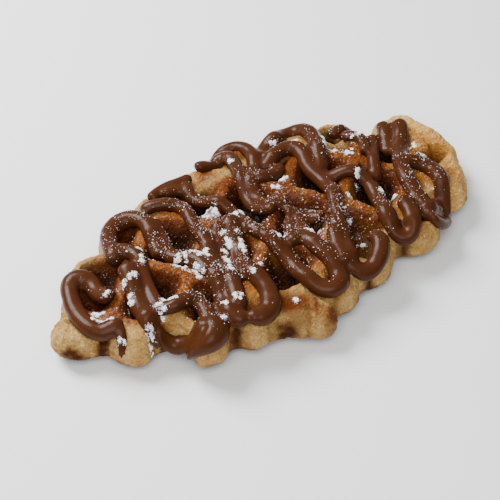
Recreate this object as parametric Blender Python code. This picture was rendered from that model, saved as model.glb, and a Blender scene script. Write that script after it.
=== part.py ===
# Croffle: a croissant pressed in a waffle iron, under a thick drizzle of chocolate.
# One piece: a long lobed slab of pastry with deep square pockets in both faces, and
# the ropes of chocolate that lie across it, joined to it by one union.
# Metres, +Z up, +X along the slab. The origin is on the resting plane, under the middle.

import bmesh
import bpy
import numpy as np

MM = 0.001
# The drawn outline's middle, which the finished piece has at x = 0, y = 0.
MIDDLE_X = 1.15
MIDDLE_Y = -1.23

# The slab, in millimetres. Its outline is an ellipse with a row of lobes round it.
CORE_HALF_LENGTH = 73.0
CORE_HALF_WIDTH = 32.0
LOBE_BLEND = 5.0
# Each lobe of the edge: its centre x, y and its radius.
LOBES = [
    (-73.0, -0.5, 8.5), (-60.0, -15.0, 6.5), (-41.0, -26.5, 8.5), (-27.0, -29.5, 7.5),
    (-17.0, -30.0, 7.5), (-9.0, -35.0, 7.0), (-5.0, -40.0, 5.5), (6.0, -32.0, 8.5),
    (22.0, -26.0, 10.5), (45.5, -24.0, 9.5), (66.0, -12.5, 10.5), (73.0, -2.0, 9.0),
    (74.5, 9.0, 9.5), (71.0, 15.5, 9.5), (49.0, 26.5, 8.5), (39.5, 29.5, 7.5),
    (30.5, 30.0, 8.0), (14.0, 35.0, 8.0), (-1.0, 33.0, 8.0), (-13.0, 32.5, 8.0),
    (-24.0, 30.0, 8.0), (-39.0, 25.5, 8.5), (-56.0, 16.5, 8.5), (-63.5, 9.0, 8.0),
]
# Each deeper notch between lobes: the centre x, y and radius of what it takes away.
NOTCHES = [(-53.0, -26.5, 7.0), (-34.0, -36.5, 4.0), (34.5, -36.5, 4.5)]
NOTCH_BLEND = 1.5
SEAM_HEIGHT = 5.5
CREST_AT_EDGE = 13.5
CREST_RISE = 4.0
DOME_HALF_LENGTH = 82.0
DOME_HALF_WIDTH = 40.0
DOME_POWER = 0.75
THIN_END_DROP = 3.5
THIN_END_FROM = 45.0
THIN_END_TO = 78.0
EDGE_ROUND = 5.0
UNDERSIDE_LIFT = 2.2
# The underside starts to lift at this share of the way out, squared, from the middle.
LIFT_FROM = 0.45
# What lies lower than this is pressed flat on the resting plane.
REST_SNAP = 0.25

# The waffle grid: two families of ridges, pressed a little out of square.
PITCHES = (24.3, 20.0)
RIDGE_ANGLES = (-54.0, 41.0)
RIDGE_OFFSETS = (-5.5, -3.0)
RIDGE_WIDTH = 3.4
WALL_WIDTH = 5.4
UNDERSIDE_RIDGE_WIDTH = 5.4
UNDERSIDE_WALL_WIDTH = 4.0
CORNER_BLEND = 3.5
TOP_DEPTH = 0.57
UNDERSIDE_DEPTH = 4.6
# The least pastry left between a pocket above and the one below it.
POCKET_WEB = 2.6
POCKET_EDGE_FROM = 2.5
POCKET_EDGE_TO = 7.5
# The pressed part, measured across the first family of ridges; the ends puff up plain.
PRESSED_FROM = -54.0
PRESSED_TO = 60.0
PRESSED_FADE = 3.0
# The flat of a ridge top is narrower than the ridge by this on each side.
RIDGE_SHOULDER = 0.8
# Slow waves in the ridge tops: their height, radians per millimetre along x and y, and
# the phase of each at the middle.
RIDGE_WAVE = 0.5
WAVE_ALONG_X = 0.31
WAVE_ALONG_Y = 0.27
WAVE_PHASE_X = 0.9
WAVE_PHASE_Y = -0.4

# Mesh steps of the slab before it is thinned, and the triangles that stay.
SLAB_TURNS = 240
SLAB_RINGS = 30
SPINE_HALF = 50.0
# How far the rays that find the outline go, against the ellipse's half length and width.
RAY_REACH_X = 1.4
RAY_REACH_Y = 1.6
HALVINGS = 40
SLAB_TRIANGLES = 3150
# A corner this near the resting plane belongs to it.
REST_NEAR = 0.05

# The ropes of chocolate: how they lie on the ridges and sink in a pocket, and mesh steps.
ROPE_FLATTEN = 0.88
ROPE_SINK = 0.34
ROPE_BED = 1.35
ROPE_SMOOTH = 7
FINE_STEP = 1.0
ROPE_STEP = 6.8
LEAST_RINGS = 5
ROPE_SIDES = 7
# On the inside of a bend a tube reaches this share of the bend's radius.
BEND_ROOM = 0.7
# A rope's tip stands this far out, and is this wide, both as shares of its radius.
TIP_REACH = 0.8
TIP_WIDTH = 0.55
# Points along the curve between two turning points.
CURVE_STEPS = 24
# Each rope as it was poured: its radius, then its turning points x and y.
ROPES = {
    "left_loop": (3.0, [(-59, -1), (-60.5, 6), (-59.5, 12), (-62, 16), (-66, 15), (-69, 9),
                        (-71, 0), (-70, -6.5), (-66.5, -10), (-62, -9.5)]),
    "near_left_stroke": (3.2, [(-48.5, 9), (-49.5, 4), (-51, -0.5), (-53, -6.5), (-54, -12.5),
                               (-54.5, -17), (-53, -20)]),
    "near_left_loop": (2.4, [(-50, 15.5), (-46.5, 15.5), (-43.5, 12.5), (-43.5, 7), (-45.5, 2.5),
                             (-47, -4), (-48.5, -10), (-47.5, -15), (-43.5, -16), (-39, -15),
                             (-36.5, -17.5), (-37.5, -22), (-39, -27)]),
    "near_left_mass": (4.2, [(-38, -25), (-39, -30), (-42, -32.5), (-45.5, -30), (-47.5, -26.5)]),
    "near_left_join": (3.2, [(-53.5, -18.5), (-52, -20), (-49, -22), (-46, -25)]),
    "far_left_loop": (2.9, [(-50, 11), (-48, 18), (-45, 24.5), (-42, 28), (-37, 29),
                            (-33, 26.5), (-32, 21.5), (-34, 13), (-36, 6)]),
    "far_left_side": (2.7, [(-30, 22), (-31, 14), (-33, 7), (-32.5, 3), (-29.5, 0), (-28, -5),
                            (-28.5, -12)]),
    "far_double_arch": (2.3, [(-30, 28.5), (-27, 29), (-24, 27), (-21, 26), (-18.5, 24.5),
                              (-17.5, 20), (-19, 14.5), (-20.5, 7), (-22, -1), (-23.5, -6)]),
    "far_strand": (2.0, [(-24, 31.5), (-20, 34), (-15, 34), (-10, 33.5), (-6, 33)]),
    "cross_strand": (2.2, [(-9.5, 32), (-11.5, 27), (-10.5, 22), (-7.5, 17), (-5, 12), (-4.5, 6),
                           (-5, -1), (-4.5, -7)]),
    "long_first": (3.0, [(-21, 2), (-24, -5), (-27, -12), (-29, -18), (-31, -24.5),
                         (-31.5, -30), (-28, -33)]),
    "long_second": (2.9, [(-13, 7), (-17, 0), (-20.5, -8), (-23.5, -16), (-26.5, -23.5),
                          (-29, -29)]),
    "long_third": (3.1, [(-8, 8.5), (-11, 1), (-13.5, -6), (-16.5, -13), (-16.5, -20),
                         (-16.5, -26), (-18.5, -31.5), (-22.5, -34), (-27.5, -33.5)]),
    "far_hook": (2.3, [(-2.5, 36.5), (0.5, 37), (4, 36), (7.5, 39), (12, 40.5), (16.5, 39.5),
                       (18.5, 35.5), (17.5, 30), (14, 24), (10.5, 19)]),
    "inner_hook": (2.5, [(5, 36), (8.5, 37.5), (10.5, 34), (8.5, 26.5), (5.5, 19), (3.5, 11),
                         (4, 5), (6.5, 1)]),
    "back_strand": (2.3, [(13.5, 26), (9, 21), (6.5, 13), (7, 6), (11.5, 0.5)]),
    "far_bead": (2.5, [(10.5, 20.5), (12.5, 17.5), (16.5, 17.5), (22.5, 19.5)]),
    "far_arch": (2.8, [(19.5, 28), (23.5, 32.5), (29, 34), (34.5, 36), (39, 35.5), (41.5, 32),
                       (40.5, 26), (38, 20), (34, 13), (31.5, 10.5)]),
    "second_arch": (2.7, [(16.5, 23), (21, 25), (27, 27), (31.5, 25.5), (32, 20.5), (30, 14),
                          (30.5, 8), (29.5, 1), (26, -5.5), (23, -11), (20.5, -16)]),
    "middle_loop": (2.9, [(-4, -5), (-2.5, -11), (-2, -19), (-2.5, -27), (-1, -33.5),
                          (2.5, -37), (6.5, -35.5), (8.5, -29), (8, -22), (7.5, -15),
                          (10, -8.5), (12, -3), (9, 0)]),
    "middle_link": (2.6, [(13, -2), (16, -6), (18.5, -10)]),
    "near_right_loop": (3.0, [(19, -12), (20, -16), (18, -21), (14.5, -28), (14, -33),
                              (17.5, -35), (22, -34.5), (26, -31.5), (28, -28), (28, -23)]),
    "far_right_arch": (2.1, [(47.5, 25), (50.5, 26.5), (54, 26), (57.5, 24), (59.5, 20.5),
                             (58.5, 15.5), (54.5, 9.5), (50, 4), (46, -4)]),
    "right_cross": (2.4, [(30, 7.5), (34, 6), (39, 3.5), (42.5, 0), (42.5, -5)]),
    "right_loop": (2.8, [(43, -3), (41.5, -9), (38.5, -16), (36, -22.5), (36, -27.5), (39, -30),
                         (42, -28.5), (44.5, -24), (45.5, -20), (44.5, -17)]),
    "far_end_left": (2.5, [(66, 20), (64, 15), (61, 10), (58.5, 5)]),
    "far_end_right": (2.9, [(71, 17), (69, 12.5), (63.5, 6), (58.5, -0.5), (54, -8), (52, -15),
                            (51, -21), (51.5, -26.5)]),
    "end_return": (2.8, [(51.5, -25.5), (55, -27), (59, -24), (62.5, -18.5), (65, -12.5),
                         (64.5, -8), (61, -4.5), (57, -2.5)]),
}

CRUST_COLOUR = (0.55, 0.29, 0.10, 1.0)
CRUST_ROUGHNESS = 0.55
CHOCOLATE_COLOUR = (0.075, 0.027, 0.013, 1.0)
CHOCOLATE_ROUGHNESS = 0.22


def ease(value, start, stop):
    """A smooth step: 0 up to start, 1 from stop."""
    t = np.clip((value - start) / (stop - start), 0.0, 1.0)
    return t * t * (3.0 - 2.0 * t)


def blend_lower(a, b, width):
    """The lower of two fields, rounded over width where they cross."""
    mix = np.clip(0.5 + 0.5 * (b - a) / width, 0.0, 1.0)
    return b * (1.0 - mix) + a * mix - width * mix * (1.0 - mix)


def inside_distance(x, y):
    """How far a point is inside the lobed and notched outline, negative outside."""
    radius = np.maximum(np.hypot(x / CORE_HALF_LENGTH, y / CORE_HALF_WIDTH), 1e-6)
    slope = np.hypot(x / CORE_HALF_LENGTH**2, y / CORE_HALF_WIDTH**2) / radius
    outside = (radius - 1.0) / np.maximum(slope, 1e-6)
    for lobe_x, lobe_y, lobe_radius in LOBES:
        from_lobe = np.hypot(x - lobe_x, y - lobe_y) - lobe_radius
        outside = blend_lower(outside, from_lobe, LOBE_BLEND)
    inside = -outside
    for notch_x, notch_y, notch_radius in NOTCHES:
        from_notch = np.hypot(x - notch_x, y - notch_y) - notch_radius
        inside = blend_lower(inside, from_notch, NOTCH_BLEND)
    return inside


def ridge_distance(x, y):
    """Distance to the nearest ridge line, with the pockets' corners rounded."""
    nearest = np.full(np.shape(x), max(PITCHES))
    for pitch, angle, offset in zip(PITCHES, np.radians(RIDGE_ANGLES), RIDGE_OFFSETS):
        across = y * np.cos(angle) - x * np.sin(angle) - offset
        to_line = np.abs((across / pitch + 0.5) % 1.0 - 0.5) * pitch
        nearest = blend_lower(nearest, to_line, CORNER_BLEND)
    return nearest


def pressed_area(x, y):
    """1 between the grid's first and last ridge of the first family, 0 out at the ends."""
    angle = np.radians(RIDGE_ANGLES[0])
    across = y * np.cos(angle) - x * np.sin(angle)
    return ease(across, PRESSED_FROM - PRESSED_FADE, PRESSED_FROM) * (
        1.0 - ease(across, PRESSED_TO, PRESSED_TO + PRESSED_FADE))


def pocket_share(x, y, ridge_width, wall_width):
    """0 on a ridge, 1 on a pocket's floor, and no pocket right at the edge."""
    half_ridge = 0.5 * ridge_width
    wall = ease(ridge_distance(x, y), half_ridge - RIDGE_SHOULDER, half_ridge + wall_width)
    edge = ease(inside_distance(x, y), POCKET_EDGE_FROM, POCKET_EDGE_TO)
    return wall * edge * pressed_area(x, y)


def crest_height(x, y):
    """Height of the ridge tops: a low dome, thinner at the -X end, in slow waves."""
    far_out = (x / DOME_HALF_LENGTH)**2 + (y / DOME_HALF_WIDTH)**2
    crest = CREST_AT_EDGE + CREST_RISE * np.clip(1.0 - far_out, 0.0, 1.0)**DOME_POWER
    crest = crest - THIN_END_DROP * ease(-x, THIN_END_FROM, THIN_END_TO)
    wave = np.sin(WAVE_ALONG_X * x + WAVE_PHASE_X) * np.cos(WAVE_ALONG_Y * y + WAVE_PHASE_Y)
    return crest + RIDGE_WAVE * wave


def edge_roundness(x, y):
    """0 on the outline and 1 from EDGE_ROUND inwards, along a quarter round."""
    t = np.clip(inside_distance(x, y) / EDGE_ROUND, 0.0, 1.0)
    return np.sqrt(1.0 - (1.0 - t)**2)


def top_height(x, y, depth=TOP_DEPTH):
    """The upper face: ridge tops, pockets of the given share of their height, round edge."""
    crest = crest_height(x, y)
    face = crest * (1.0 - depth * pocket_share(x, y, RIDGE_WIDTH, WALL_WIDTH))
    return SEAM_HEIGHT + (face - SEAM_HEIGHT) * edge_roundness(x, y)


def underside_height(x, y):
    """The lower face: flat ridges to rest on, shallower pockets, lifting at the edge."""
    far_out = (x / DOME_HALF_LENGTH)**2 + (y / DOME_HALF_WIDTH)**2
    lift = UNDERSIDE_LIFT * ease(far_out, LIFT_FROM, 1.0)
    below = pocket_share(x, y, UNDERSIDE_RIDGE_WIDTH, UNDERSIDE_WALL_WIDTH)
    above = pocket_share(x, y, RIDGE_WIDTH, WALL_WIDTH)
    ceiling = crest_height(x, y) * (1.0 - TOP_DEPTH * above) - POCKET_WEB
    face = np.minimum(lift + UNDERSIDE_DEPTH * below, ceiling)
    face = SEAM_HEIGHT - (SEAM_HEIGHT - face) * edge_roundness(x, y)
    return np.where(face < REST_SNAP, 0.0, face)


def outline_points():
    """Rays from a spine out to the outline: start and end point of each ray."""
    turn = 2.0 * np.pi * np.arange(SLAB_TURNS) / SLAB_TURNS
    start_x = SPINE_HALF * np.cos(turn)
    start_y = np.zeros(SLAB_TURNS)
    reach_x = RAY_REACH_X * CORE_HALF_LENGTH * np.cos(turn) - start_x
    reach_y = RAY_REACH_Y * CORE_HALF_WIDTH * np.sin(turn)
    low = np.zeros(SLAB_TURNS)
    high = np.ones(SLAB_TURNS)
    for _ in range(HALVINGS):
        middle = 0.5 * (low + high)
        inside = inside_distance(start_x + middle * reach_x, middle * reach_y) > 0.0
        low = np.where(inside, middle, low)
        high = np.where(inside, high, middle)
    return start_x, start_y, start_x + low * reach_x, low * reach_y


def mesh_object(name, points, faces, material):
    """A mesh object from points in millimetres."""
    mesh = bpy.data.meshes.new(name)
    placed = (np.asarray(points) - (MIDDLE_X, MIDDLE_Y, 0.0)) * MM
    mesh.from_pydata(placed.tolist(), [], faces)
    mesh.materials.append(material)
    mesh.shade_smooth()
    mesh.validate()
    made = bpy.data.objects.new(name, mesh)
    bpy.context.scene.collection.objects.link(made)
    return made


def apply_modifiers(made):
    """The evaluated mesh becomes the object's own."""
    seen = made.evaluated_get(bpy.context.evaluated_depsgraph_get())
    applied = bpy.data.meshes.new_from_object(seen)
    made.modifiers.clear()
    made.data = applied


def thin_out(made, triangles):
    """Leaves about so many triangles, with the resting corners on the plane again."""
    made.modifiers.new("Triangles first", "TRIANGULATE")
    apply_modifiers(made)
    thin = made.modifiers.new("Thin out", "DECIMATE")
    thin.ratio = triangles / len(made.data.polygons)
    apply_modifiers(made)
    corners = np.empty(3 * len(made.data.vertices))
    made.data.vertices.foreach_get("co", corners)
    corners[2::3] = np.where(corners[2::3] < REST_NEAR * MM, 0.0, corners[2::3])
    made.data.vertices.foreach_set("co", corners)


def slab(name, material):
    """The pastry: rings from the spine to the outline, above and below."""
    start_x, start_y, end_x, end_y = outline_points()
    half = SLAB_TURNS // 2
    share = np.sin(0.5 * np.pi * np.arange(SLAB_RINGS + 1) / SLAB_RINGS)[:, None]
    x = start_x + share * (end_x - start_x)
    y = start_y + share * (end_y - start_y)
    ring = x.size
    points = []
    for height in (top_height(x, y), underside_height(x, y)):
        points.append(np.stack([x, y, height], -1).reshape(-1, 3))
    points = np.concatenate(points)

    def index(sheet, row, column):
        column = column % SLAB_TURNS
        if row == 0:
            column = min(column, SLAB_TURNS - column) if column > half else column
        if row == SLAB_RINGS:
            sheet = 0
        return sheet * ring + row * SLAB_TURNS + column

    faces = []
    for row in range(SLAB_RINGS):
        for column in range(SLAB_TURNS):
            corners = [(row, column), (row + 1, column), (row + 1, column + 1), (row, column + 1)]
            above = [index(0, *corner) for corner in corners]
            below = [index(1, *corner) for corner in reversed(corners)]
            for face in (above, below):
                face = [corner for place, corner in enumerate(face) if corner != face[place - 1]]
                faces.append(face)
    used = np.unique(np.concatenate([np.array(face) for face in faces]))
    place = np.zeros(len(points), dtype=int)
    place[used] = np.arange(len(used))
    faces = [place[face].tolist() for face in faces]
    made = mesh_object(name, points[used], faces, material)
    thin_out(made, SLAB_TRIANGLES)
    return made


def smooth_line(points, step):
    """Points a step apart along a smooth cubic curve through the turning points."""
    knots = np.array(points, dtype=float)
    knots = np.vstack([2.0 * knots[0] - knots[1], knots, 2.0 * knots[-1] - knots[-2]])
    t = np.linspace(0.0, 1.0, CURVE_STEPS, endpoint=False)[:, None]
    pieces = []
    for before, here, there, after in zip(knots, knots[1:], knots[2:], knots[3:]):
        pieces.append(0.5 * (2.0 * here + (there - before) * t
                             + (2.0 * before - 5.0 * here + 4.0 * there - after) * t**2
                             + (3.0 * here - before - 3.0 * there + after) * t**3))
    line = np.vstack(pieces + [knots[-2:-1]])
    along = np.concatenate([[0.0], np.cumsum(np.linalg.norm(np.diff(line, axis=0), axis=1))])
    count = int(round(along[-1] / step)) + 1
    places = np.linspace(0.0, along[-1], count)
    return np.stack([np.interp(places, along, line[:, 0]),
                     np.interp(places, along, line[:, 1])], -1)


def laid_rope(points):
    """The rope's centre line: it lies on the ridges and sinks a little in the pockets."""
    fine = smooth_line(points, FINE_STEP)
    height = top_height(fine[:, 0], fine[:, 1], TOP_DEPTH * ROPE_SINK) + ROPE_BED
    count = max(LEAST_RINGS, int(round(len(fine) / ROPE_STEP)) + 1)
    picks = np.linspace(0, len(fine) - 1, count)
    columns = []
    for column in (fine[:, 0], fine[:, 1], height):
        padded = np.pad(column, ROPE_SMOOTH // 2, mode="reflect", reflect_type="odd")
        eased = np.convolve(padded, np.ones(ROPE_SMOOTH) / ROPE_SMOOTH, mode="valid")
        columns.append(np.interp(picks, np.arange(len(fine)), eased))
    return np.stack(columns, -1)


def side_room(line):
    """How far a tube may reach to the left and to the right without folding in a bend."""
    steps = np.diff(line[:, :2], axis=0)
    middle = np.gradient(line[:, :2], axis=0)
    turned = np.diff(np.unwrap(np.arctan2(middle[:, 1], middle[:, 0])))
    rate = turned / np.linalg.norm(steps, axis=1)
    rooms = []
    for signed in (rate, -rate):
        closing = np.maximum(np.pad(signed, (0, 1)), np.pad(signed, (1, 0)))
        rooms.append(BEND_ROOM / np.maximum(closing, 1e-6))
    return rooms


def rope(name, points, radius, material):
    """A tube round the laid line, closed by a round tip at each end."""
    line = laid_rope(points)
    forward = np.gradient(line, axis=0)
    forward /= np.linalg.norm(forward, axis=1)[:, None]
    tip = TIP_REACH * radius
    line = np.vstack([line[0] - tip * forward[0], line, line[-1] + tip * forward[-1]])
    forward = np.vstack([forward[:1], forward, forward[-1:]])
    width = np.full(len(line), radius)
    width[[0, -1]] = TIP_WIDTH * radius
    side = np.cross(forward, (0.0, 0.0, 1.0))
    side /= np.linalg.norm(side, axis=1)[:, None]
    up = np.array((0.0, 0.0, 1.0))
    turn = 2.0 * np.pi * (np.arange(ROPE_SIDES) + 0.5) / ROPE_SIDES
    across = width[:, None] * np.cos(turn)
    left_room, right_room = side_room(line)
    across = np.clip(across, -left_room[:, None], right_room[:, None])
    above = ROPE_FLATTEN * width[:, None] * np.sin(turn)
    rings = (line[:, None, :] + across[:, :, None] * side[:, None, :]
             + above[:, :, None] * up)
    faces = []
    for row in range(len(line) - 1):
        for column in range(ROPE_SIDES):
            here = row * ROPE_SIDES + column
            beside = row * ROPE_SIDES + (column + 1) % ROPE_SIDES
            faces.append([here, here + ROPE_SIDES, beside])
            faces.append([beside, here + ROPE_SIDES, beside + ROPE_SIDES])
    last = (len(line) - 1) * ROPE_SIDES
    for column in range(1, ROPE_SIDES - 1):
        faces.append([0, column, column + 1])
        faces.append([last, last + column + 1, last + column])
    return mesh_object(name, rings.reshape(-1, 3), faces, material)


def finish(name, colour, roughness):
    """A plain finish: a colour and a roughness, no metal."""
    material = bpy.data.materials.new(name)
    material.use_nodes = True
    shader = material.node_tree.nodes["Principled BSDF"]
    shader.inputs["Base Color"].default_value = colour
    shader.inputs["Roughness"].default_value = roughness
    shader.inputs["Metallic"].default_value = 0.0
    return material


def keep_outer_shell(mesh):
    """Drops sealed hollows and loose scraps: only the largest connected shell stays."""
    shape = bmesh.new()
    shape.from_mesh(mesh)
    waiting = set(shape.verts)
    shells = []
    while waiting:
        shell = {waiting.pop()}
        border = list(shell)
        while border:
            corner = border.pop()
            for edge in corner.link_edges:
                other = edge.other_vert(corner)
                if other in waiting:
                    waiting.remove(other)
                    shell.add(other)
                    border.append(other)
        shells.append(shell)
    shells.sort(key=len)
    for shell in shells[:-1]:
        bmesh.ops.delete(shape, geom=list(shell), context="VERTS")
    shape.to_mesh(mesh)
    shape.free()


def fuse(body, pieces):
    """One union of the body with a collection of pieces, which are then removed."""
    group = bpy.data.collections.new("Drizzle")
    bpy.context.scene.collection.children.link(group)
    for piece in pieces:
        bpy.context.scene.collection.objects.unlink(piece)
        group.objects.link(piece)
    union = body.modifiers.new("Drizzle", "BOOLEAN")
    union.operation = "UNION"
    union.operand_type = "COLLECTION"
    union.collection = group
    union.solver = "MANIFOLD"
    union.material_mode = "TRANSFER"
    apply_modifiers(body)
    keep_outer_shell(body.data)
    for piece in pieces:
        bpy.data.objects.remove(piece)
    bpy.data.collections.remove(group)


for leftover in list(bpy.data.objects):
    bpy.data.objects.remove(leftover)

crust = finish("Crust", CRUST_COLOUR, CRUST_ROUGHNESS)
chocolate = finish("Chocolate", CHOCOLATE_COLOUR, CHOCOLATE_ROUGHNESS)
croffle = slab("croffle", crust)
strands = []
for strand_name, (strand_radius, strand_points) in ROPES.items():
    strands.append(rope(strand_name, strand_points, strand_radius, chocolate))
fuse(croffle, strands)
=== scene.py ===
# Croffle: a croissant pressed in a waffle iron, with chocolate drizzle and powdered sugar.
# Lengths in the functions are millimetres, on the outline as it was drawn; meshes are in
# metres, and their origin is under the middle of the piece, on the resting plane.
import bpy
import numpy as np
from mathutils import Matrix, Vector
from mathutils.bvhtree import BVHTree


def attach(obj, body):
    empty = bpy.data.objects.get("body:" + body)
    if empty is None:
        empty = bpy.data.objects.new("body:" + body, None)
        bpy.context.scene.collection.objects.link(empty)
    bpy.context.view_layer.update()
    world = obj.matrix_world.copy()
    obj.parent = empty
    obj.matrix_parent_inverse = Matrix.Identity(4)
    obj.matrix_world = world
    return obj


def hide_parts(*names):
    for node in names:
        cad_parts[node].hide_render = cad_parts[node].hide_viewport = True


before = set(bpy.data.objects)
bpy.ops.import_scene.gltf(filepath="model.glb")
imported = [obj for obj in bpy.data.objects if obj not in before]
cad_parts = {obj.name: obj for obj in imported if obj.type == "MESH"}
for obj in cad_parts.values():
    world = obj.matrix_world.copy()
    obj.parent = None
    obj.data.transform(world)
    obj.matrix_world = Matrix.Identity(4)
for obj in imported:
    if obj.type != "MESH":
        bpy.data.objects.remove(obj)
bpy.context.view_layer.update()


# Pastry. Layered croissant dough, baked and pressed between the two faces of a waffle iron:
# a long lobed slab with deep square pockets above and shallower ones below. The solid's own
# lobes, ridges and pockets on a fine mesh, with creases, layers and a rough, blistered crust.
MM = 0.001
# The drawn outline's middle, which the finished piece has at x = 0, y = 0.
MIDDLE = np.array([1.15, -1.23, 0.0])
CORE_HALF_LENGTH = 73.0
CORE_HALF_WIDTH = 32.0
LOBE_BLEND = 5.0
# Each lobe of the edge: its centre x, y and its radius.
LOBES = np.array([
    (-73.0, -0.5, 8.5), (-60.0, -15.0, 6.5), (-41.0, -26.5, 8.5), (-27.0, -29.5, 7.5),
    (-17.0, -30.0, 7.5), (-9.0, -35.0, 7.0), (-5.0, -40.0, 5.5), (6.0, -32.0, 8.5),
    (22.0, -26.0, 10.5), (45.5, -24.0, 9.5), (66.0, -12.5, 10.5), (73.0, -2.0, 9.0),
    (74.5, 9.0, 9.5), (71.0, 15.5, 9.5), (49.0, 26.5, 8.5), (39.5, 29.5, 7.5),
    (30.5, 30.0, 8.0), (14.0, 35.0, 8.0), (-1.0, 33.0, 8.0), (-13.0, 32.5, 8.0),
    (-24.0, 30.0, 8.0), (-39.0, 25.5, 8.5), (-56.0, 16.5, 8.5), (-63.5, 9.0, 8.0),
])
# Each deeper notch between lobes: the centre x, y and radius of what it takes away.
NOTCHES = ((-53.0, -26.5, 7.0), (-34.0, -36.5, 4.0), (34.5, -36.5, 4.5))
NOTCH_BLEND = 1.5
SEAM_HEIGHT = 5.5
CREST_AT_EDGE = 13.5
CREST_RISE = 4.0
DOME_HALF_LENGTH = 82.0
DOME_HALF_WIDTH = 40.0
DOME_POWER = 0.75
THIN_END_DROP = 3.5
THIN_END_FROM = 45.0
THIN_END_TO = 78.0
EDGE_ROUND = 5.0
UNDERSIDE_LIFT = 2.2
# The underside starts to lift at this share of the way out, squared, from the middle.
LIFT_FROM = 0.45
PITCHES = (24.3, 20.0)
RIDGE_ANGLES = (-54.0, 41.0)
RIDGE_OFFSETS = (-5.5, -3.0)
RIDGE_WIDTH = 3.4
WALL_WIDTH = 5.4
UNDERSIDE_RIDGE_WIDTH = 5.4
UNDERSIDE_WALL_WIDTH = 4.0
# What lies lower than this is pressed flat on the resting plane.
REST_SNAP = 0.25
CORNER_BLEND = 3.5
# How deep the pockets are: above as a share of the ridges' height, below in millimetres.
TOP_DEPTH = 0.57
UNDERSIDE_DEPTH = 4.6
# The least pastry left between a pocket above and the one below it.
POCKET_WEB = 2.6
POCKET_EDGE_FROM = 2.5
POCKET_EDGE_TO = 7.5
# The pressed part, measured across the first family of ridges; the ends puff up plain.
PRESSED_FROM = -54.0
PRESSED_TO = 60.0
PRESSED_FADE = 3.0
# The flat of a ridge top is narrower than the ridge by this on each side.
RIDGE_SHOULDER = 0.8
# Slow waves in the ridge tops: their height, radians per millimetre along x and y, and the
# phase of each at the middle.
RIDGE_WAVE = 0.5
WAVE_ALONG_X = 0.31
WAVE_ALONG_Y = 0.27
WAVE_PHASE_X = 0.9
WAVE_PHASE_Y = -0.4
# Creases between the lobes: their width and depth, how far they wander and how long that
# wander is, how far in they reach, and where they break off.
CREASE_WIDTH = 1.1
CREASE_DEPTH = 0.7
CREASE_WANDER = 2.5
CREASE_WANDER_SIZE = 9.0
CREASE_FADES_AT = 11.0
CREASE_FULL_AT = 3.0
CREASE_BREAK_SIZE = 16.0
LONG_FOLD_WIDTH = 0.88
# Longer folds in the near side and at both ends: start x, y and end x, y.
LONG_FOLDS = (
    (-5.0, -33.0, -11.0, -42.0), (3.0, -36.0, -1.0, -45.0), (-75.0, 3.0, -68.0, -4.0),
    (-55.0, -16.0, -57.0, -24.0), (68.0, -14.0, 60.0, -19.0), (66.0, 10.0, 78.0, 6.0),
)
# Rays round the slab, rings of its upper and its lower sheet, and half the spine's length.
SLAB_TURNS = 600
TOP_RINGS = 106
UNDERSIDE_RINGS = 56
SPINE_HALF = 50.0
# How far the rays that find the outline go, against the ellipse's half length and width.
RAY_REACH_X = 1.4
RAY_REACH_Y = 1.6
HALVINGS = 30
# The puffed end at +X, with folds across it: where it starts, their pitch, slant and depth.
END_FROM = 58.0
END_TO = 66.0
END_FOLD_PITCH = 8.5
END_FOLD_ACROSS = (0.97, 0.24)
END_FOLD_WANDER = 1.6
END_FOLD_WANDER_SIZE = 14.0
END_FOLD_FLOOR = -0.6
END_FOLD_DEPTH = 0.75
# Relief of the crust: slow lumps, the dough's layers in the side, blisters and fine grain.
LUMP_SIZE = 7.0
LUMP_HEIGHT = 0.55
LAYER_PITCH = 2.3
LAYER_WANDER = 1.3
LAYER_WANDER_SIZE = 11.0
LAYER_DEPTH = 0.13
BLISTER_SIZE = 2.6
BLISTER_HEIGHT = 0.7
BLISTER_LEVEL = 0.25
GRAIN_SIZE = 1.0
GRAIN_HEIGHT = 0.26
GRAIN_MORE_ON_TOP = 0.14
# The darkest part of the grid, where the iron pressed hardest: its centre, its half lengths
# and how ragged it is.
TOASTED_X = 8.0
TOASTED_Y = 4.0
TOASTED_HALF_LENGTH = 32.0
TOASTED_HALF_WIDTH = 17.0
TOASTED_RAGGED = 0.45
TOASTED_RAGGED_SIZE = 12.0
# The browned lower rim: up to what height it is full, and how far up it fades, at least and
# more in places, with a ragged upper edge.
RIM_FULL = 2.6
RIM_FADED = 2.8
RIM_FADED_MORE = 3.6
RIM_RAGGED = 1.4
RIM_WANDER_SIZE = 13.0
# How the coloured spots and the dusting fray: the size of the fraying.
SPOT_FRAY_SIZE = 3.0
DUST_FRAY_SIZE = 1.8
# Cells along one side of the noise's lattice, and how far apart its octaves are read.
LATTICE_CELLS = 32
OCTAVE_SHIFT = 7.31


def ease(value, start, stop):
    """Smooth step 3t^2 - 2t^3: 0 up to start, 1 from stop."""
    t = np.clip((value - start) / (stop - start), 0.0, 1.0)
    return t * t * (3.0 - 2.0 * t)


def blend_lower(a, b, width):
    """The lower of two fields, with a parabola of the given width where they cross."""
    mix = np.clip(0.5 + 0.5 * (b - a) / width, 0.0, 1.0)
    return b * (1.0 - mix) + a * mix - width * mix * (1.0 - mix)


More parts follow.
